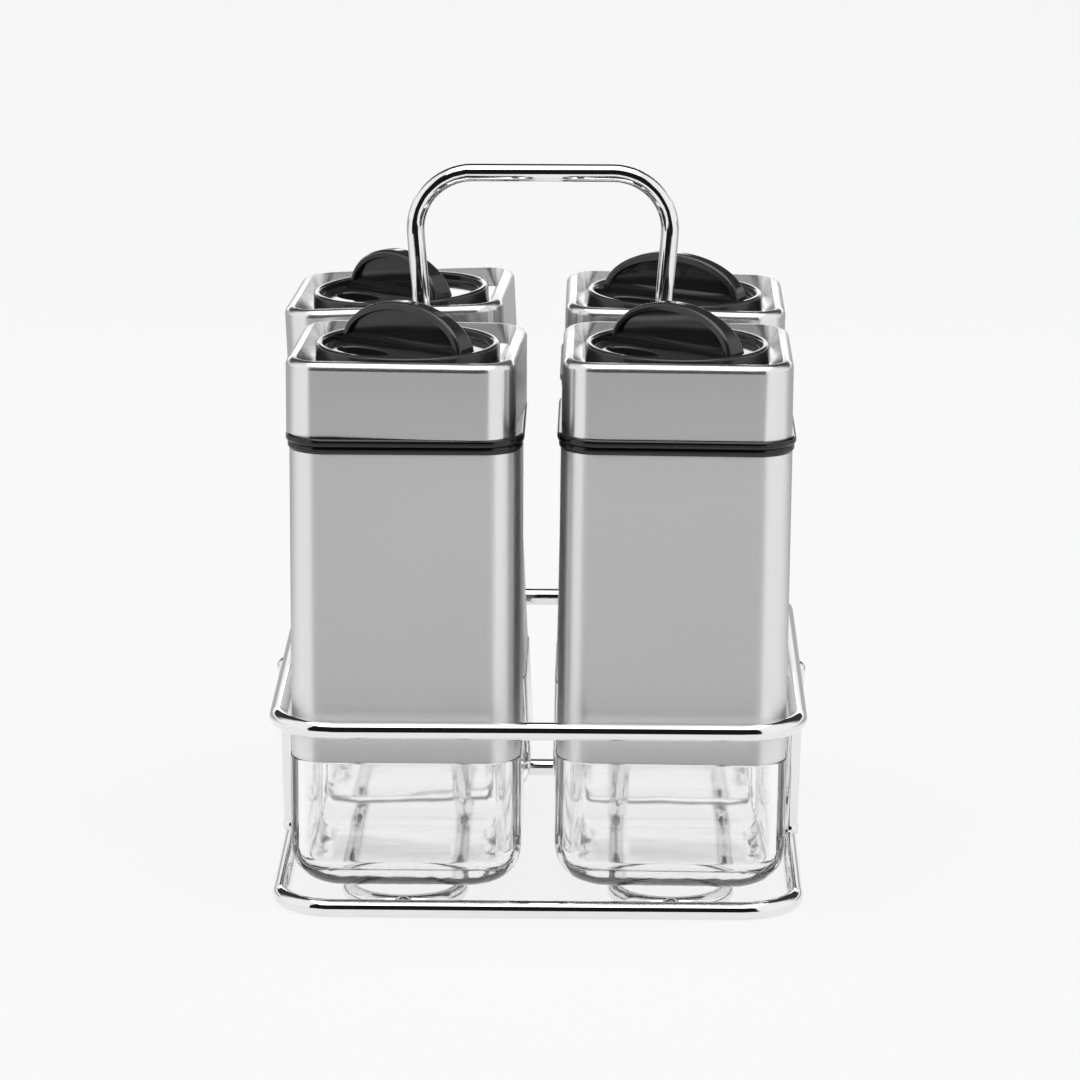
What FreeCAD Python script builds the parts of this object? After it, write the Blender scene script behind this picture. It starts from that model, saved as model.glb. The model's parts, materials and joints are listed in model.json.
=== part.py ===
import FreeCAD, Part
import math
import os

# Four square spice jars with steel sleeves and twist dials, standing in a chrome wire caddy.
# Millimetres, +Z up, X to the right, Y away from the front, origin on the ground under the middle.

vec = FreeCAD.Vector
up = vec(0, 0, 1)

# Caddy wire
wire = 4.0                  # diameter of every bent wire
rest_flat = 0.2             # ground off the underside, so the caddy stands flat
weld_sink = 0.4             # how deep two welded wires melt into each other
bead_radius = 2.3           # weld flash round each joint
guard_height = 42.8         # middle of the guard ring above the ground
side_inset = 0.2            # base ring inside the guard ring, left and right
front_inset = 1.6           # the same at the front
back_inset = 4.8            # the same at the back
ring_corner_ease = 2.1      # how much rounder the rings are at their corners than the jars
side_play = 0.6             # room between the jars and the guard ring, left and right
row_play = 2.1              # the same, front and back
centre_gap = 7.2            # between the left and the right jars
row_gap = 9.8               # between the front and the back jars
loop_half = 12.1            # half width of the wire loop under each pair of jars
loop_outset = 0.4           # loops outside the middle lines of the jars
handle_top_outset = 0.55    # handle legs outside the jars' middle lines, at the top
handle_bend = 12.8
finger_room = 21.6          # free height between the dials and the handle
post_foot_outset = 0.2      # side posts outside the base ring's middle line
post_head_outset = 1.0      # the same at the guard ring
back_post_inset = 0.6       # foot of the back post inside the base ring's middle line
back_post_shift = -4.1      # back post left of the middle
seat_gap = 0.05

# Glass
foot_width = 50.8
foot_corner = 8.5
foot_height = 30.3
foot_edge = 10.0            # rounding round the underside
foot_flat_corner = 3.0      # corner of the flat underside
foot_sections = 7           # sections through that rounding
glass_wall = 3.2
base_thickness = 5.5
cavity_edge = 4.0
sleeved_height = 68.9
shoulder_thickness = 4.0
neck_wall = 3.5
lip_edge = 0.9

# Sleeve and seal ring
sleeve_step = 0.3           # the glass foot stands proud of the sleeve by this
sleeve_sheet = 0.5
sleeve_clearance = 0.2
seal_thickness = 3.4
seal_proud = 0.9            # upper bead outside the lid
seal_lower_proud = 0.5      # lower bead outside the lid
seal_overlap = 0.2          # where the two beads run into each other
seal_bead = 0.7             # rounding of each bead
neck_clearance = 0.3

# Lid
lid_inset = 0.4             # lid narrower than the glass foot, each side
lid_height = 16.4
lid_edge = 1.8
lid_sheet = 0.6
rim_width = 2.4
well_depth = 4.2
well_slope = 1.9            # the well's floor is this much smaller than its opening, each side
well_corner = 5.0           # at the opening
well_floor_corner = 0.8
floor_hole_margin = 3.2     # steel floor left round its hole
liner_fit = 0.1
liner_wall = 2.0
liner_lift = 0.2
plate_thickness = 2.0
boss_fit = 0.15
gasket_thickness = 0.9
plug_fit = 0.35
plug_wall = 1.55
plug_depth = 8.0
hub_radius = 3.4
hub_depth = 3.0

# Dial
dial_room = 0.45            # between the dial and the foot of the well
dial_lift = 0.2             # underside above the steel floor
dial_height = 4.3
dial_rim = 1.75
dial_rim_edge = 0.7
recess_depth = 1.9
recess_fillet = 0.5
fin_foot_half = 2.9         # half thickness of the fin at its foot
fin_top_half = 1.8
fin_end_gap = 1.3
fin_rise = 8.7              # fin top above the dial's rim
fin_drop = 1.2              # centre of the fin's arch below the dial's rim
fin_edge = 1.0
fin_root = 0.5              # fin's foot buried in the rim
dish_half = 1.5             # half thickness left between the two finger dishes
dish_border = 1.0           # raised edge round a dish
dish_slope = 0.9            # how far the side of a dish leans inwards
window_fin_gap = 1.1        # fin's foot to the pour window
window_plug_gap = 5.2       # pour window to the plug's bore, sideways
window_end_gap = 3.8        # the same towards the end of the fin
window_past_middle = 0.4
dial_turn = 90.0            # from closed to either stop
closed_fin_angle = -40.0    # where the fin points on a closed lid
hub_ring = 3.2
lug_width = 3.0
lug_thickness = 1.0
lug_depth = 1.0
lug_clearance = 0.4
stop_spare = 1.5            # degrees left between the lug and its stop

# Dial screw and washer
screw_radius = 1.5
running_fit = 0.05
screw_hold = 5.0            # screw length inside the dial
screw_head_radius = 2.6
screw_head_height = 1.8
slot_width = 0.8
slot_depth = 0.9
washer_radius = 3.2
washer_thickness = 0.6

# Holes in the sifter
pour_hole_inset = 0.3       # pour hole inside the dial window's outline
sprinkle_hole = 1.8
sprinkle_pitch = 2.8
sprinkle_row = 1.7
sprinkle_counts = (4, 3)

# Each jar: its corner of the caddy, the share of the side play that it has moved outwards in the guard ring,
# how far it leans outwards, and how its lid and its fin are turned
jars = {
    "front_left": {"side": -1, "row": -1, "out": 0.1, "lean": 0.0, "lid_turn": -3.0, "fin_angle": -39.0},
    "front_right": {"side": 1, "row": -1, "out": 0.5, "lean": 0.45, "lid_turn": 0.0, "fin_angle": -41.0},
    "back_left": {"side": -1, "row": 1, "out": 0.45, "lean": 2.7, "lid_turn": -3.0, "fin_angle": -53.0},
    "back_right": {"side": 1, "row": 1, "out": -0.8, "lean": 1.1, "lid_turn": 0.0, "fin_angle": -26.0},
}

# Glass, sleeve and liner, measured from the jar's own axis and underside
foot_half = foot_width / 2
sleeve_half = foot_half - sleeve_step
neck_base = foot_height + sleeved_height
lid_half = foot_half - lid_inset
lid_corner = foot_corner
liner_half = lid_half - lid_sheet - liner_fit
neck_radius = liner_half - liner_wall - neck_clearance
mouth_radius = neck_radius - neck_wall
cavity_top = neck_base - shoulder_thickness

# Lid and sifter
lid_low = neck_base + seal_thickness
lid_high = lid_low + lid_height
well_half = lid_half - rim_width
well_floor = lid_high - well_depth
well_floor_half = well_half - well_slope
floor_hole = well_floor_half - floor_hole_margin
plate_high = well_floor - lid_sheet
plate_low = plate_high - plate_thickness
neck_top = plate_low - gasket_thickness
plug_radius = mouth_radius - plug_fit
plug_bore = plug_radius - plug_wall
hub_low = plate_low - hub_depth

# Dial
dial_radius = well_floor_half - dial_room
dial_low = well_floor + dial_lift
dial_high = dial_low + dial_height
recess_radius = dial_radius - dial_rim
recess_floor = dial_high - recess_depth
fin_half = recess_radius - fin_end_gap
fin_centre = dial_high - fin_drop
window_near = fin_foot_half + window_fin_gap
window_far = plug_bore - window_plug_gap
window_end = plug_bore - window_end_gap
window_half = ((window_end + window_past_middle) / 2, (window_far - window_near) / 2)
window_centre = vec(window_past_middle - window_half[0], -window_near - window_half[1], 0)
lug_high = plug_bore - lug_clearance
lug_low = lug_high - lug_thickness
lug_foot = well_floor - lug_depth
washer_low = hub_low - washer_thickness

# Caddy
bay_x = (foot_width + centre_gap) / 2
bay_y = (foot_width + row_gap) / 2
loop_x = bay_x + loop_outset
guard_x = bay_x + foot_half + side_play + wire / 2
guard_y = bay_y + foot_half + row_play + wire / 2
base_x = guard_x - side_inset
base_front = -guard_y + front_inset
base_back = guard_y - back_inset
base_y = (base_back - base_front) / 2
base_middle = (base_back + base_front) / 2
ring_corner = foot_corner + wire / 2 + ring_corner_ease
wire_level = wire / 2 - rest_flat
foot_level = wire_level + wire / 2 - weld_sink
post_head = guard_height - wire / 2 + weld_sink
seat = wire_level + wire / 2 + seat_gap
loop_reach = base_y - wire + weld_sink
handle_level = seat + dial_high + fin_rise + finger_room + wire / 2


# Basic shapes
def polar(radius, degrees):
    return vec(radius * math.cos(math.radians(degrees)), radius * math.sin(math.radians(degrees)), 0)


def arc(start, middle, end):
    return Part.Arc(start, middle, end).toShape()


def rounded_wire(half_x, half_y, corner, z):
    """Rectangle with round corners, starting in the middle of its front side."""
    first = vec(0, -half_y, z)
    here = first
    edges = []
    for i, (x, y) in enumerate(((1, -1), (1, 1), (-1, 1), (-1, -1))):
        centre = vec(x * (half_x - corner), y * (half_y - corner), z)
        start, middle, end = (centre + polar(corner, 90 * i - 90 + turn) for turn in (0, 45, 90))
        edges += [Part.makeLine(here, start), arc(start, middle, end)]
        here = end
    edges.append(Part.makeLine(here, first))
    return Part.Wire(edges)


def rounded_block(half, corner, low, high):
    return Part.Face(rounded_wire(half, half, corner, low)).extrude(vec(0, 0, high - low))


def cylinder(radius, low, high, x=0.0, y=0.0):
    return Part.makeCylinder(radius, high - low, vec(x, y, low), up)


def ring(outer, inner, low, high):
    return cylinder(outer, low, high).cut(cylinder(inner, low, high))


def sector(radius, low, high, first, last):
    return Part.makeCylinder(radius, high - low, vec(0, 0, low), up, last - first).rotated(vec(), up, first)


def rounded_at(shape, radius, *heights):
    """Rounds every edge that lies flat at one of the heights."""
    boxes = [(edge, edge.BoundBox) for edge in shape.Edges]
    flat = [e for e, box in boxes for z in heights if abs(box.ZMin - z) < 1e-4 and abs(box.ZMax - z) < 1e-4]
    return shape.makeFillet(radius, flat)


def drafted(low_wire, high_wire):
    return Part.makeLoft([low_wire, high_wire], True, True)


def one_solid(shape):
    return shape.removeSplitter().Solids[0]


# Glass jar
def make_foot():
    """Square glass foot, rounded more round its underside than at its upright corners."""
    sections = []
    for i in range(foot_sections):
        steepness = math.pi / 2 * i / (foot_sections - 1)
        inset = foot_edge * (1 - math.sin(steepness))
        corner = foot_corner + (foot_flat_corner - foot_corner) * inset / foot_edge
        half = foot_half - inset
        sections.append(rounded_wire(half, half, corner, foot_edge * (1 - math.cos(steepness))))
    upright = rounded_block(foot_half, foot_corner, foot_edge, foot_height)
    return rounded_at(upright, sleeve_step, foot_height).fuse(Part.makeLoft(sections, True))


def make_glass():
    foot = make_foot()
    inset = sleeve_step + sleeve_sheet + sleeve_clearance
    body = rounded_block(foot_half - inset, foot_corner - inset, foot_height, neck_base)
    neck = rounded_at(cylinder(neck_radius, neck_base, neck_top), lip_edge, neck_top)
    cavity = rounded_block(foot_half - glass_wall, foot_corner - glass_wall, base_thickness, cavity_top)
    cavity = rounded_at(cavity, cavity_edge, base_thickness)
    mouth = cylinder(mouth_radius, cavity_top, neck_top)
    return one_solid(foot.fuse([body, neck]).cut(cavity.fuse(mouth)))


def make_sleeve():
    corner = foot_corner - sleeve_step
    outside = rounded_block(sleeve_half, corner, foot_height, neck_base)
    inside = rounded_block(sleeve_half - sleeve_sheet, corner - sleeve_sheet, foot_height, neck_base)
    return outside.cut(inside)


def make_seal_ring():
    """Rubber gasket on the glass shoulder: two beads with a groove between them."""
    split = neck_base + seal_thickness / 2
    bead_ends = ((seal_lower_proud, neck_base, split + seal_overlap / 2),
                 (seal_proud, split - seal_overlap / 2, lid_low))
    beads = [rounded_at(rounded_block(lid_half + proud, lid_corner + proud, low, high), seal_bead, low, high)
             for proud, low, high in bead_ends]
    return one_solid(beads[0].fuse(beads[1]).cut(cylinder(neck_radius + neck_clearance, neck_base, lid_low)))


# Lid
def make_lid_shell():
    """Drawn steel cap with a square well in its top and a round hole in the well's floor."""
    outside = rounded_at(rounded_block(lid_half, lid_corner, lid_low, lid_high), lid_edge, lid_high)
    inside = rounded_block(lid_half - lid_sheet, lid_corner - lid_sheet, lid_low, lid_high - lid_sheet)
    inside = rounded_at(inside, lid_edge - lid_sheet, lid_high - lid_sheet)
    floor_and_opening = []
    for sheet in (0, lid_sheet):
        floor_and_opening.append(drafted(
            rounded_wire(well_floor_half + sheet, well_floor_half + sheet, well_floor_corner + sheet,
                         well_floor - sheet),
            rounded_wire(well_half + sheet, well_half + sheet, well_corner + sheet, lid_high)))
    well, around_well = floor_and_opening
    shell = outside.cut(well).cut(inside.cut(around_well))
    return one_solid(shell.cut(cylinder(floor_hole, plate_high, well_floor)))


def make_lid_liner():
    """Plastic sleeve inside the lid that grips the glass neck and holds up the sifter."""
    low = lid_low + liner_lift
    block = rounded_block(liner_half, lid_corner - lid_sheet - liner_fit, low, plate_low)
    return block.cut(cylinder(neck_radius + neck_clearance, low, plate_low))


def window_prism(inset, low, high, turn):
    """Oval column of the dial's pour window, turned about the lid's axis."""
    half_x, half_y = window_half
    centre = window_centre + vec(0, 0, low)
    ellipse = Part.Ellipse(centre + vec(half_x - inset, 0, 0), centre + vec(0, half_y - inset, 0), centre)
    column = Part.Face(Part.Wire(ellipse.toShape())).extrude(vec(0, 0, high - low))
    return column.rotated(vec(), up, turn)


def make_sifter():
    """Plate under the steel floor: blank where closed, a pour hole one way, sprinkle holes the other."""
    plate = cylinder(liner_half, plate_low, plate_high)
    boss = cylinder(floor_hole - boss_fit, plate_high, well_floor)
    plug = ring(plug_radius, plug_bore, plate_low - plug_depth, plate_low)
    hub = cylinder(hub_radius, hub_low, plate_low)
    holes = [cylinder(screw_radius + running_fit, hub_low, well_floor),
             window_prism(pour_hole_inset, plate_low, well_floor, closed_fin_angle + dial_turn)]
    for row, count in zip((1, -1), sprinkle_counts):
        for i in range(count):
            x = window_centre.x + (i - (count - 1) / 2) * sprinkle_pitch
            y = window_centre.y + row * sprinkle_row
            hole = cylinder(sprinkle_hole / 2, plate_low, well_floor, x, y)
            holes.append(hole.rotated(vec(), up, closed_fin_angle - dial_turn))
    half_lug = math.degrees(lug_width / 2 / lug_low)
    reach = dial_turn + half_lug + stop_spare
    middle = closed_fin_angle + 90
    groove_low = lug_foot - lug_clearance
    groove = sector(lug_high + lug_clearance, groove_low, well_floor, middle - reach, middle + reach)
    groove = groove.cut(cylinder(lug_low - lug_clearance, groove_low, well_floor))
    return one_solid(plate.fuse([boss, plug, hub]).cut(holes + [groove]))


def make_mouth_gasket():
    return ring(neck_radius - lip_edge, mouth_radius, neck_top, plate_low)


# Dial, built with its fin along X and its pour window at the front left
def arch_wire(inset, y, low):
    """Half ellipse standing on a straight foot, across the dial at y."""
    half = fin_half - inset
    rise = fin_rise + fin_drop - inset
    centre = vec(0, y, fin_centre)
    ellipse = Part.Ellipse(centre + vec(half, 0, 0), centre + vec(0, 0, rise), centre)
    start = math.asin((low - fin_centre) / rise)
    over = ellipse.toShape(start, math.pi - start)
    foot = Part.makeLine(over.valueAt(over.LastParameter), over.valueAt(over.FirstParameter))
    return Part.Wire([over, foot])


def make_fin():
    slab = Part.Face(arch_wire(0, -fin_foot_half, fin_centre)).extrude(vec(0, 2 * fin_foot_half, 0))
    top = dial_high + fin_rise
    outline = [vec(-fin_half, y, z) for y, z in ((-fin_foot_half, fin_centre), (-fin_top_half, top),
                                                 (fin_top_half, top), (fin_foot_half, fin_centre))]
    wedge = Part.Face(Part.makePolygon(outline + outline[:1])).extrude(vec(2 * fin_half, 0, 0))
    fin = slab.common(wedge)
    fin = fin.makeFillet(fin_edge, [e for e in fin.Edges if e.BoundBox.ZLength > fin_rise / 2])
    for side in (-1, 1):
        deep = arch_wire(dish_border + dish_slope, side * dish_half, dial_high + fin_edge / 2)
        open_end = arch_wire(dish_border, side * (fin_foot_half + dish_slope), dial_high - fin_edge)
        fin = fin.cut(drafted(deep, open_end))
    foot_reach = recess_radius + fin_root
    foot = Part.makeBox(2 * foot_reach, 2 * fin_foot_half, fin_centre - recess_floor + fin_root,
                        vec(-foot_reach, -fin_foot_half, recess_floor - fin_root))
    return fin.fuse(foot)


def make_dial():
    disc = rounded_at(cylinder(dial_radius, dial_low, dial_high), dial_lift, dial_low)
    disc = disc.cut(cylinder(recess_radius, recess_floor, dial_high))
    disc = rounded_at(disc, dial_rim_edge, dial_high)
    disc = disc.cut(window_prism(0, dial_low, recess_floor, 0))
    disc = rounded_at(disc, recess_fillet, recess_floor)
    hub = cylinder(hub_ring, well_floor, dial_low)
    lug = Part.makeBox(lug_width, lug_thickness, dial_low - lug_foot, vec(-lug_width / 2, lug_low, lug_foot))
    screw_hole = cylinder(screw_radius, well_floor, dial_low + screw_hold)
    return one_solid(disc.fuse([make_fin(), hub, lug]).cut(screw_hole))


def make_dial_screw():
    shank = cylinder(screw_radius, washer_low, dial_low + screw_hold)
    head_low = washer_low - screw_head_height
    head = cylinder(screw_head_radius, head_low, washer_low)
    slots = [Part.makeBox(2 * x, 2 * y, slot_depth, vec(-x, -y, head_low))
             for x, y in ((screw_head_radius, slot_width / 2), (slot_width / 2, screw_head_radius))]
    return one_solid(head.fuse(shank).cut(slots))


def make_dial_washer():
    return ring(washer_radius, screw_radius, washer_low, hub_low)


# Caddy
def wire_along(path):
    """Round wire swept along a path."""
    first = path.OrderedEdges[0]
    start = first.FirstParameter
    section = Part.makeCircle(wire / 2, first.valueAt(start), first.tangentAt(start))
    return path.makePipeShell([Part.Wire(section)], True, False)


def rod(start, end):
    return Part.makeCylinder(wire / 2, start.distanceToPoint(end), start, end - start)


def bead(place):
    return Part.makeSphere(bead_radius, place)


def ground_flat(shape):
    """Takes off what would reach below the ground."""
    span = 4 * (guard_x + guard_y)
    return shape.cut(Part.makeBox(span, span, span, vec(-span / 2, -span / 2, -span)))


def bent_path(points, bend):
    """Straight runs joined by tangent arcs."""
    here = points[0]
    edges = []
    for before, corner, after in zip(points, points[1:], points[2:]):
        back = (before - corner).normalize()
        forth = (after - corner).normalize()
        half_angle = back.getAngle(forth) / 2
        run = bend / math.tan(half_angle)
        middle = corner + (back + forth).normalize() * (bend / math.sin(half_angle) - bend)
        start, end = corner + back * run, corner + forth * run
        edges += [Part.makeLine(here, start), arc(start, middle, end)]
        here = end
    edges.append(Part.makeLine(here, points[-1]))
    return Part.Wire(edges)


def loop_path(x):
    """Long loop with round ends, lying front to back."""
    run = loop_reach - loop_half
    centre = vec(x, base_middle, wire_level)
    corners = [centre + vec(loop_half * across, run * along, 0)
               for across, along in ((1, -1), (1, 1), (-1, 1), (-1, -1))]
    return Part.Wire([Part.makeLine(corners[0], corners[1]),
                      arc(corners[1], centre + vec(0, loop_reach, 0), corners[2]),
                      Part.makeLine(corners[2], corners[3]),
                      arc(corners[3], centre - vec(0, loop_reach, 0), corners[0])])


def make_caddy():
    base_path = rounded_wire(base_x, base_y, ring_corner, wire_level).translated(vec(0, base_middle, 0))
    base_ring = ground_flat(wire_along(base_path))
    guard_ring = wire_along(rounded_wire(guard_x, guard_y, ring_corner, guard_height))
    pieces = {"base_ring": base_ring, "guard_ring": guard_ring}
    for side, word in ((-1, "left"), (1, "right")):
        x = side * loop_x
        welds = [bead(vec(x, y, wire_level)) for y in (base_front + wire / 2, base_back - wire / 2)]
        loop = ground_flat(wire_along(loop_path(x)).fuse(welds)).cut(base_ring)
        foot = vec(side * (base_x + post_foot_outset), 0, foot_level)
        head = vec(side * (guard_x + post_head_outset), 0, post_head)
        post = rod(foot, head).fuse([bead(foot), bead(head)]).cut([base_ring, guard_ring])
        pieces[word + "_loop"] = one_solid(loop)
        pieces[word + "_post"] = one_solid(post)
    foot = vec(back_post_shift, base_back - back_post_inset, 0)
    post = ground_flat(rod(foot, vec(back_post_shift, guard_y, post_head))).cut([base_ring, guard_ring])
    pieces["back_post"] = one_solid(post)
    feet = [vec(side * (loop_x - loop_half), 0, foot_level) for side in (-1, 1)]
    tops = [vec(side * (bay_x + handle_top_outset), 0, handle_level) for side in (-1, 1)]
    handle = wire_along(bent_path([feet[0]] + tops + [feet[1]], handle_bend))
    handle = handle.fuse([bead(foot) for foot in feet]).cut([pieces["left_loop"], pieces["right_loop"]])
    pieces["handle"] = one_solid(handle)
    return pieces


def standing(jar):
    """Where a jar stands: held by the guard ring, on the outer wire of the loop under it, at its lean."""
    turn = FreeCAD.Rotation(vec(0, jar["side"], 0), jar["lean"])
    along = turn.multVec(up)
    held = vec(jar["side"] * (bay_x + jar["out"] * side_play), jar["row"] * bay_y, guard_height)
    carrier = vec(jar["side"] * (loop_x + loop_half), held.y, wire_level)
    return FreeCAD.Placement(held - along * ((held - carrier).dot(along) - seat + wire_level), turn)


def main():
    os.makedirs("parts", exist_ok=True)
    pieces = make_caddy()
    jar_pieces = {"glass": make_glass(), "sleeve": make_sleeve(), "seal_ring": make_seal_ring()}
    lid_pieces = {"lid_shell": make_lid_shell(), "lid_liner": make_lid_liner(), "sifter": make_sifter(),
                  "mouth_gasket": make_mouth_gasket()}
    dial_pieces = {"dial": make_dial(), "dial_screw": make_dial_screw(), "dial_washer": make_dial_washer()}
    for name, jar in jars.items():
        place = standing(jar).toMatrix()
        for group, turn in ((jar_pieces, 0), (lid_pieces, jar["lid_turn"]), (dial_pieces, jar["fin_angle"])):
            for piece, shape in group.items():
                pieces[name + "_" + piece] = shape.rotated(vec(), up, turn).transformed(place)
    for name, shape in pieces.items():
        shape.exportStep("parts/" + name + ".step")
    whole = Part.makeCompound(list(pieces.values())).BoundBox
    print("pieces", len(pieces), "size", *(round(x, 2) for x in (whole.XLength, whole.YLength, whole.ZLength)))


main()
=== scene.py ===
# %% [markdown]
# # Four spice jars in a wire caddy
#
# This notebook dresses a finished construction model: square glass jars with steel sleeves and steel
# lids, a black twist dial on each lid, and a caddy bent from chrome wire.
# The construction model already has every solid in its real place and at its real size, so nothing is
# moved here. What is missing is how the surfaces look: plated wire, brushed sheet steel, clear pressed
# glass, glossy moulded plastic and black rubber.
# The frame hands over the solids as ordinary mesh objects, in metres, with +Z up and the ground at zero.

# %% Load the construction model
import json
import math

import bpy
import numpy as np
from mathutils import Matrix, Vector

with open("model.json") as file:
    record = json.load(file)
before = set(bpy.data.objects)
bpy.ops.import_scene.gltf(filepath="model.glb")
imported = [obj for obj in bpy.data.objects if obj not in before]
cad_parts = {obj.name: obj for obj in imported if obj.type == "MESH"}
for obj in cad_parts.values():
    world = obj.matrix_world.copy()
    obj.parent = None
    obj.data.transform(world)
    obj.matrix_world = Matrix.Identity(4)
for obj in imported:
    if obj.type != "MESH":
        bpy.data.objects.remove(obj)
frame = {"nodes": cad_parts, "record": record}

scene = bpy.context.scene
solids = frame["nodes"]
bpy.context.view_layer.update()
mm = 0.001

# %% [markdown]
# ## Smooth shading without touching a vertex
#
# The solids arrive as triangles with hard edges everywhere. On a polished wire each flat triangle would
# show as a facet, because a mirror shows every change of angle.
# One could rebuild the wires as curves, but the shape is right already and only the shading is wrong.
# So each corner of each triangle gets its own normal: the average of the faces that meet at that point
# and turn by less than a crease angle. Large faces count for more, which keeps a flat sheet flat right
# up to the rounding beside it. The vertices themselves stay where they are.


# %% Work out the corner normals
crease = math.radians(35)       # faces that meet at less than this are shaded as one
same_spot = 0.002 * mm          # vertices this close together count as one point


def corner_normals(mesh):
    """Averages, at each corner, the normals of the faces that meet there more gently than the crease."""
    mesh.calc_loop_triangles()
    corner_count, face_count = len(mesh.loops), len(mesh.polygons)
    places = np.zeros(len(mesh.vertices) * 3)
    mesh.vertices.foreach_get("co", places)
    corner_vertex = np.zeros(corner_count, np.int64)
    mesh.loops.foreach_get("vertex_index", corner_vertex)
    face_normal, face_area = np.zeros(face_count * 3), np.zeros(face_count)
    mesh.polygons.foreach_get("normal", face_normal)
    mesh.polygons.foreach_get("area", face_area)
    corners_in_face = np.zeros(face_count, np.int64)
    mesh.polygons.foreach_get("loop_total", corners_in_face)
    corner_face = np.repeat(np.arange(face_count), corners_in_face)
    face_normal = face_normal.reshape(-1, 3)
    grid = np.round(places.reshape(-1, 3) / same_spot).astype(np.int64)
    _, spot_of_vertex = np.unique(grid, axis=0, return_inverse=True)
    spot = spot_of_vertex.reshape(-1)[corner_vertex]
    order = np.argsort(spot, kind="stable")
    starts = np.searchsorted(spot[order], spot, side="left")
    ends = np.searchsorted(spot[order], spot, side="right")
    own = face_normal[corner_face]
    total = np.zeros((corner_count, 3))
    for step in range(int((ends - starts).max())):
        inside = starts + step < ends
        other = corner_face[order[np.minimum(starts + step, corner_count - 1)]]
        near = inside & ((own * face_normal[other]).sum(1) > math.cos(crease))
        total += np.where(near, face_area[other] ** 2, 0)[:, None] * face_normal[other]
    length = np.linalg.norm(total, axis=1, keepdims=True)
    return np.where(length > 0, total / np.maximum(length, 1e-30), own)


def smooth(name):
    mesh = solids[name].data
    mesh.polygons.foreach_set("use_smooth", [True] * len(mesh.polygons))
    mesh.normals_split_custom_set(corner_normals(mesh).tolist())


for name in solids:
    smooth(name)
print("smoothed", sum(len(o.data.polygons) for o in solids.values()), "faces")

# %% [markdown]
# ## A small language for materials
#
# A material in Blender is a graph of nodes. Sums in that graph are easier to read as ordinary
# expressions, so a Signal wraps one output of a node, and adding or multiplying Signals adds the Math
# nodes. Every other node comes from one method, which takes the node's type, its settings and the values
# or Signals for its sockets. Colours are mixed with a Mix node, because a Math node would turn them grey.


# %% Signals and graphs
class Signal:
    """One output of a node, usable in sums."""

    def __init__(self, graph, socket):
        self.graph = graph
        self.socket = socket

    def of(self, output):
        """Another output of the same node."""
        return Signal(self.graph, self.socket.node.outputs[output])

    def _sum(self, operation, *values):
        return self.graph.node("ShaderNodeMath", {"operation": operation}, dict(enumerate(values)))

    def __add__(self, other):
        return self._sum("ADD", self, other)

    def __sub__(self, other):
        return self._sum("SUBTRACT", self, other)

    def __rsub__(self, other):
        return self._sum("SUBTRACT", other, self)

    def __mul__(self, other):
        return self._sum("MULTIPLY", self, other)

    def __truediv__(self, other):
        return self._sum("DIVIDE", self, other)

    def __rtruediv__(self, other):
        return self._sum("DIVIDE", other, self)

    def __pow__(self, other):
        return self._sum("POWER", self, other)

    __radd__ = __add__
    __rmul__ = __mul__

    def between(self, low, high):
        """0 below low, 1 above high and a soft rise between them."""
        return self.graph.node("ShaderNodeMapRange", {"interpolation_type": "SMOOTHSTEP"},
                               {"Value": self, "From Min": low, "From Max": high})

    def within(self, shut_below, open_above, open_below, shut_above):
        """1 between the two inner limits, with a soft fall to 0 at the outer ones."""
        return self.between(shut_below, open_above) * (1 - self.between(open_below, shut_above))


class Graph:
    """Adds nodes to the graph of a material or of the world."""

    def __init__(self, tree):
        self.tree = tree
        tree.nodes.clear()

    def node(self, kind, settings=None, values=None, output=0):
        made = self.tree.nodes.new(kind)
        for name, value in (settings or {}).items():
            setattr(made, name, value)
        for name, value in (values or {}).items():
            if isinstance(value, Signal):
                self.tree.links.new(value.socket, made.inputs[name])
            else:
                made.inputs[name].default_value = value
        if made.outputs:
            return Signal(self, made.outputs[output])

    def mix(self, factor, first, second):
        """A colour between first and second."""
        return self.node("ShaderNodeMix", {"data_type": "RGBA"}, {0: factor, 6: first, 7: second}, 2)

    def stretched(self, x, y, z):
        """The place on the object, in metres, multiplied along each axis."""
        place = self.node("ShaderNodeTexCoord", output="Object")
        return self.node("ShaderNodeVectorMath", {"operation": "MULTIPLY"}, {0: place, 1: (x, y, z)})

    def noise(self, place, scale, detail):
        return self.node("ShaderNodeTexNoise", {}, {"Vector": place, "Scale": scale, "Detail": detail})

    def bump(self, height, depth):
        """A normal from a height signal: depth is the height of a step from 0 to 1, in metres."""
        return self.node("ShaderNodeBump", {}, {"Height": height, "Distance": depth, "Strength": 1.0})


def finish(name, values):
    """A new material whose Principled shader takes the values that the function works out."""
    material = bpy.data.materials.new(name)
    material.use_nodes = True
    graph = Graph(material.node_tree)
    shader = graph.node("ShaderNodeBsdfPrincipled", {}, values(graph))
    graph.node("ShaderNodeOutputMaterial", {}, {"Surface": shader})
    return material


def grey(level):
    return (level, level, level, 1.0)


# %% [markdown]
# ## Chrome wire
#
# Plated wire is a mirror that isn't perfect: the drawn steel under the plating leaves shallow waves, and
# handling leaves a faint haze.
# A metallic shader with almost no roughness gives the mirror. Noise in the colour and the roughness gives
# the haze, and a bump about a hundredth of a millimetre deep lets the reflected lines wander as they do on
# real wire.


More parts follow.
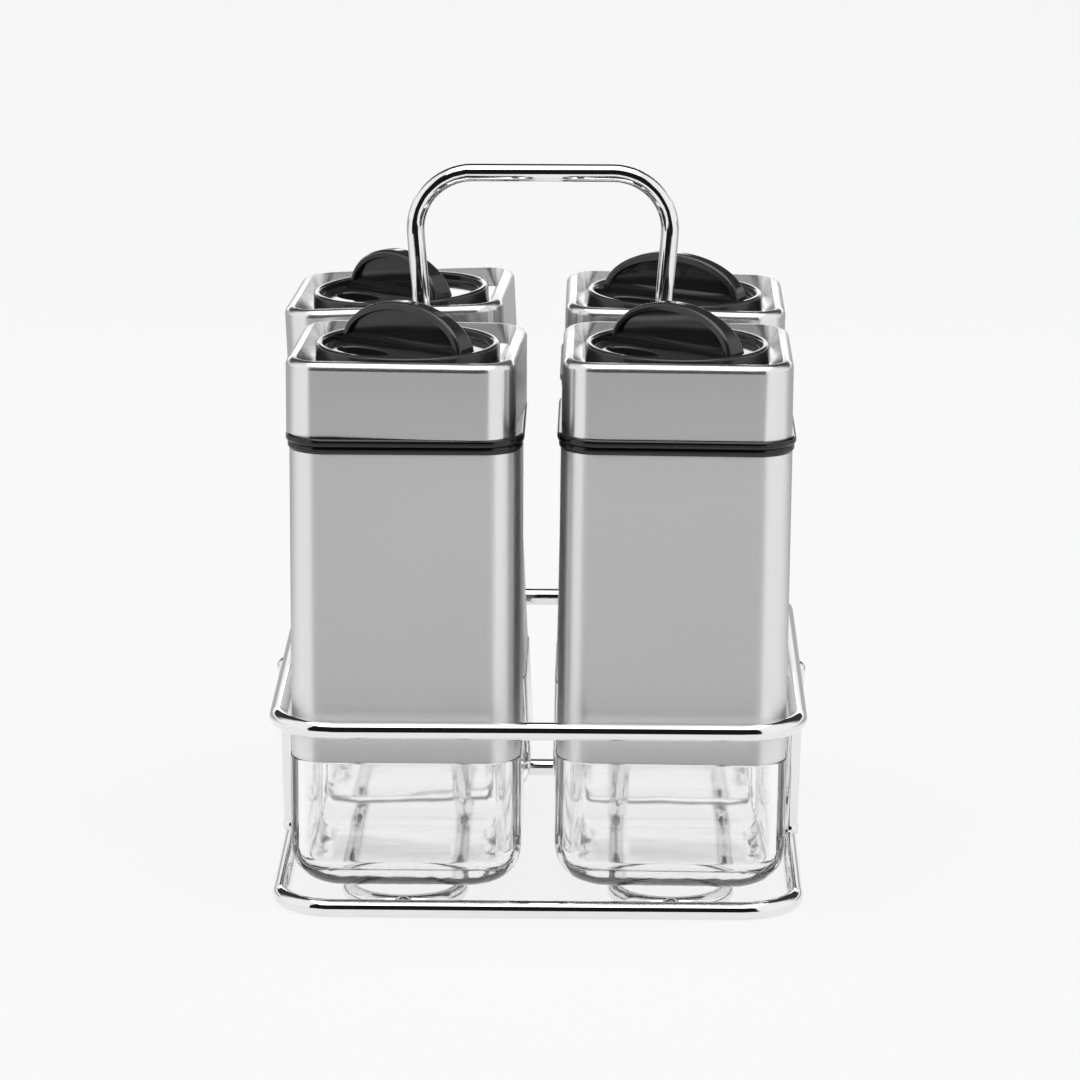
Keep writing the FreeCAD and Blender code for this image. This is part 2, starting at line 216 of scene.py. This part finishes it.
# %% Make the chrome
def chrome(graph):
    darkest, lightest = grey(0.80), grey(0.88)
    least_rough, added_by_haze = 0.03, 0.04
    haze_scale, wave_scale = 160, 90        # waves to the metre
    wave_depth = 0.012 * mm
    place = graph.stretched(1, 1, 1)
    haze = graph.noise(place, haze_scale, 3)
    waves = graph.noise(place, wave_scale, 1)
    return {"Base Color": graph.mix(haze, darkest, lightest), "Metallic": 1.0,
            "Roughness": least_rough + added_by_haze * haze, "Normal": graph.bump(waves, wave_depth)}


finishes = {"chrome_wire": finish("chrome_wire", chrome)}
print("finishes so far:", *finishes)

# %% [markdown]
# ## Brushed sheet steel
#
# The sleeves and lids are stainless sheet, brushed round the jar with a fine belt. The scratches run
# level, so a reflection stays sharp from side to side and smears up and down.
# Anisotropic gloss does the smearing. A sleeve smears more than a lid, which still shows a dark line under
# its bright upper edge. The scratches themselves are noise squeezed thin upwards and drawn out sideways.
# They are faint, because from a step away single scratches hardly show. The hidden screws are plain steel,
# with no smear.


# %% Make the three steels
def brushed(colour, roughness, smear):
    fine_scale, coarse_scale = (16, 16, 5200), (9, 9, 1500)     # waves to the metre along X, Y and Z
    cloud_scale = 22
    scratches_are_level = 0.25      # turns of the anisotropic direction
    scratch_depth = 0.0006 * mm
    colour_swing, roughness_swing = 0.04, 0.03

    def values(graph):
        fine = graph.noise(graph.stretched(*fine_scale), 1, 2)
        coarse = graph.noise(graph.stretched(*coarse_scale), 1, 2)
        cloud = graph.noise(graph.stretched(1, 1, 1), cloud_scale, 2)
        scratch = fine * 0.6 + coarse * 0.4
        shade = scratch * 0.4 + cloud * 0.6
        dark, light = grey(colour * (1 - colour_swing)), grey(colour * (1 + colour_swing))
        return {"Base Color": graph.mix(shade, dark, light), "Metallic": 1.0,
                "Roughness": roughness - roughness_swing + 2 * roughness_swing * scratch,
                "Anisotropic": smear, "Anisotropic Rotation": scratches_are_level,
                "Normal": graph.bump(scratch, scratch_depth)}
    return values


steels = {                          # colour, roughness, smear
    "sleeve_steel": (0.84, 0.44, 0.87),
    "lid_steel": (0.77, 0.25, 0.7),
    "screw_steel": (0.55, 0.35, 0.0),
}
for name, look in steels.items():
    finishes[name] = finish(name, brushed(*look))

# %% [markdown]
# ## Pressed glass
#
# The jar is clear soda glass, thick at the foot, pressed in a mould. Its faces are a little wavy, which is
# what bends the lines seen through it.
# A transmitting shader with about the refractive index of such glass does most of it, because the solid
# has real walls for the light to bend in. A shallow bump adds the waves, and a trace of roughness softens
# the dark lines where the light runs along inside a wall.


# %% Make the glass
def clear_glass(graph):
    wave_scale, drawn_upwards = 90, 0.6     # waves to the metre, and fewer of them up the jar
    wave_depth = 0.12 * mm
    waves = graph.noise(graph.stretched(1, 1, drawn_upwards), wave_scale, 1)
    return {"Base Color": grey(1.0), "Roughness": 0.06, "IOR": 1.49,
            "Transmission Weight": 1.0, "Normal": graph.bump(waves, wave_depth)}


finishes["clear_glass"] = finish("clear_glass", clear_glass)

# %% [markdown]
# ## Black plastics and rubbers
#
# The dials are polished mouldings: black, with a clear gloss that picks up the studio. Under them, the
# hidden mouldings are plainer. The seal ring is rubber, the deepest black of all, and it shows thin lines
# of light along its beads. The hidden gasket is matt.
# One function makes them all from a colour, a roughness and a grain, because they differ in nothing else.


# %% Make the blacks
def moulded(colour, roughness, grain_size, grain_depth):
    wipe_scale = 60                 # waves to the metre
    colour_swing, roughness_swing = 0.2, 0.25

    def values(graph):
        place = graph.stretched(1, 1, 1)
        grain = graph.noise(place, 1 / grain_size, 2)
        wipe = graph.noise(place, wipe_scale, 3)
        dark, light = grey(colour * (1 - colour_swing)), grey(colour * (1 + colour_swing))
        return {"Base Color": graph.mix(wipe, dark, light),
                "Roughness": roughness * (1 - roughness_swing + 2 * roughness_swing * wipe), "IOR": 1.5,
                "Normal": graph.bump(grain, grain_depth)}
    return values


blacks = {                          # colour, roughness, size and depth of the grain
    "dial_plastic": (0.022, 0.09, 6 * mm, 0.003 * mm),
    "liner_plastic": (0.015, 0.42, 0.6 * mm, 0.01 * mm),
    "seal_rubber": (0.003, 0.13, 0.8 * mm, 0.001 * mm),
    "gasket_rubber": (0.013, 0.60, 0.5 * mm, 0.02 * mm),
}
for name, look in blacks.items():
    finishes[name] = finish(name, moulded(*look))
print("finishes:", *finishes)

# %% [markdown]
# ## Give every solid its finish
#
# The record says which material slot each solid belongs to, so the finishes are handed out from it and
# no solid can be missed.

# %% Hand out the finishes
for part in frame["record"]["subparts"]:
    solid = solids[part["node"]]
    solid.data.materials.clear()
    solid.data.materials.append(finishes[part["material_slot"]])

# %% [markdown]
# ## Studio
#
# The set stands on a plain pale floor in a light tent. Polished wire only looks like metal when it has
# something dark to reflect, so the tent has two openings onto a dark room. The front one, round the
# camera, draws the broad dark stripe along a wire and dims the flat faces of the jars. The rear one, high
# behind the set, draws the fine line along the wire's upper edge and shades the wells of the lids. Below
# the rear opening, the wall and the far part of the floor are in half shade, which greys the wires that
# run away from the camera.
# Only reflections show the openings: the lens sees plain white, also through the glass. The floor ends
# just in front of the picture, so that it doesn't hide the front opening from the jars. It is mostly lit
# by itself, which keeps it pale and even and leaves a soft shadow.


# %% Make the floor
matt_grey, half_shade, white = grey(0.60), grey(0.45), grey(1.0)


def make_floor():
    front_edge, reach = -0.235, 6.0
    shade_from, full_shade = 0.06, 0.25     # how far behind the middle the half shade begins
    own_light = 0.86                        # share of the floor's look that is its own light
    mesh = bpy.data.meshes.new("studio_floor")
    corners = [(-reach, front_edge, 0), (reach, front_edge, 0), (reach, reach, 0), (-reach, reach, 0)]
    mesh.from_pydata(corners, [], [(0, 1, 2, 3)])
    floor = bpy.data.objects.new("studio_floor", mesh)
    scene.collection.objects.link(floor)
    material = bpy.data.materials.new("studio_floor")
    material.use_nodes = True
    graph = Graph(material.node_tree)
    matt = graph.node("ShaderNodeBsdfDiffuse", {}, {"Color": matt_grey})
    rays = graph.node("ShaderNodeLightPath", output="Is Camera Ray")
    place = graph.node("ShaderNodeNewGeometry", output="Position")
    far = graph.node("ShaderNodeSeparateXYZ", {}, {0: place}).of("Y").between(shade_from, full_shade)
    shade = graph.mix(far * rays.of("Is Glossy Ray"), white, half_shade)
    glow = graph.node("ShaderNodeEmission", {}, {"Color": shade, "Strength": 1.0})
    seen = rays + rays.of("Is Glossy Ray") + rays.of("Is Transmission Ray")
    both = graph.node("ShaderNodeMixShader", {}, {0: own_light * seen.between(0, 1), 1: matt, 2: glow})
    graph.node("ShaderNodeOutputMaterial", {}, {"Surface": both})
    mesh.materials.append(material)


make_floor()


# %% Make the tent
# Each opening is shut, open, open and shut again at its four limits. Heights are the upward part of a
# direction, and bearings are radians from the camera's side towards the right of the picture.
front_height = (-0.225, -0.20, 0.80, 0.84)
front_bearing = (-0.86, -0.78, 0.58, 0.66)
rear_height = (0.25, 0.28, 0.94, 0.97)
rear_side = (0.3, 0.7)          # how squarely behind the set a direction points
shade_top = (0.10, 0.20)        # height at which the half shade ends
front_dark, rear_dark = grey(0.01), grey(0.04)
lens_white = grey(0.95)


def make_tent():
    """White all round, with the openings as limits on the height and the bearing of a direction."""
    world = bpy.data.worlds.new("light_tent")
    world.use_nodes = True
    scene.world = world
    graph = Graph(world.node_tree)
    direction = graph.node("ShaderNodeTexCoord", output="Generated")
    x = graph.node("ShaderNodeSeparateXYZ", {}, {0: direction})
    y, z = x.of("Y"), x.of("Z")
    bearing = graph.node("ShaderNodeMath", {"operation": "ARCTAN2"}, {0: x, 1: 0 - y})
    behind = (y / (x * x + y * y) ** 0.5).between(*rear_side)
    front = z.within(*front_height) * bearing.within(*front_bearing)
    rear = z.within(*rear_height) * behind
    horizon = behind * (1 - z.between(*shade_top))
    wall = graph.mix(horizon, white, half_shade)
    tent = graph.mix(rear, graph.mix(front, wall, front_dark), rear_dark)
    rays = graph.node("ShaderNodeLightPath", output="Is Camera Ray")
    seen = (rays + rays.of("Is Transmission Ray")).between(0, 1)
    colour = graph.mix(seen, tent, lens_white)
    light = graph.node("ShaderNodeBackground", {}, {"Color": colour, "Strength": 1.0})
    graph.node("ShaderNodeOutputWorld", {}, {"Surface": light})


make_tent()

# %% [markdown]
# One large soft box hangs over the set. A low narrow strip behind it lights nothing much, but it is what
# the flat floors of the dials reflect towards the camera.


# %% Hang the lamps
middle_of_set = Vector((0, 0, 0.07))


def soft_box(name, place, width, height, power):
    """A lamp in watts that faces the middle of the set and that neither lens nor glass sees."""
    light = bpy.data.lights.new(name, "AREA")
    light.shape = "RECTANGLE"
    light.size = width
    light.size_y = height
    light.energy = power
    lamp = bpy.data.objects.new(name, light)
    lamp.location = place
    lamp.rotation_euler = (middle_of_set - lamp.location).to_track_quat("-Z", "Y").to_euler()
    lamp.visible_camera = False
    lamp.visible_transmission = False
    scene.collection.objects.link(lamp)


soft_box("overhead", (0.0, -0.25, 1.35), 1.4, 1.4, 12)
soft_box("strip_behind", (0.0, 0.55, 0.225), 0.7, 0.05, 0.2)

# %% [markdown]
# ## Camera
#
# The picture is taken from a little above the lids and almost straight on, with a long lens, so the
# upright edges stay nearly parallel.

# %% Set up the camera
camera_place = Vector((15.05, -1137.06, 344.11)) * mm
turned_left, tipped_down, rolled = 0.778, 13.498, 0.190     # degrees
camera_data = bpy.data.cameras.new("camera")
camera_data.lens = 171.73
camera_data.sensor_width = 36.0
camera_data.clip_start = 0.01
camera = bpy.data.objects.new("camera", camera_data)
turn = Matrix.Rotation(math.radians(turned_left), 4, "Z")
tip = Matrix.Rotation(math.radians(90 - tipped_down), 4, "X")
roll = Matrix.Rotation(math.radians(rolled), 4, "Z")
camera.matrix_world = Matrix.Translation(camera_place) @ turn @ tip @ roll
scene.collection.objects.link(camera)
scene.camera = camera
scene.view_settings.view_transform = "Standard"

# %% [markdown]
# Light bounces many times between the walls of a jar, and between two jars that face each other, so it
# gets more bounces than usual. With too few, the edges of the glass turn black.

# %% Allow enough bounces
scene.cycles.max_bounces = 16
scene.cycles.glossy_bounces = 12
scene.cycles.transmission_bounces = 16
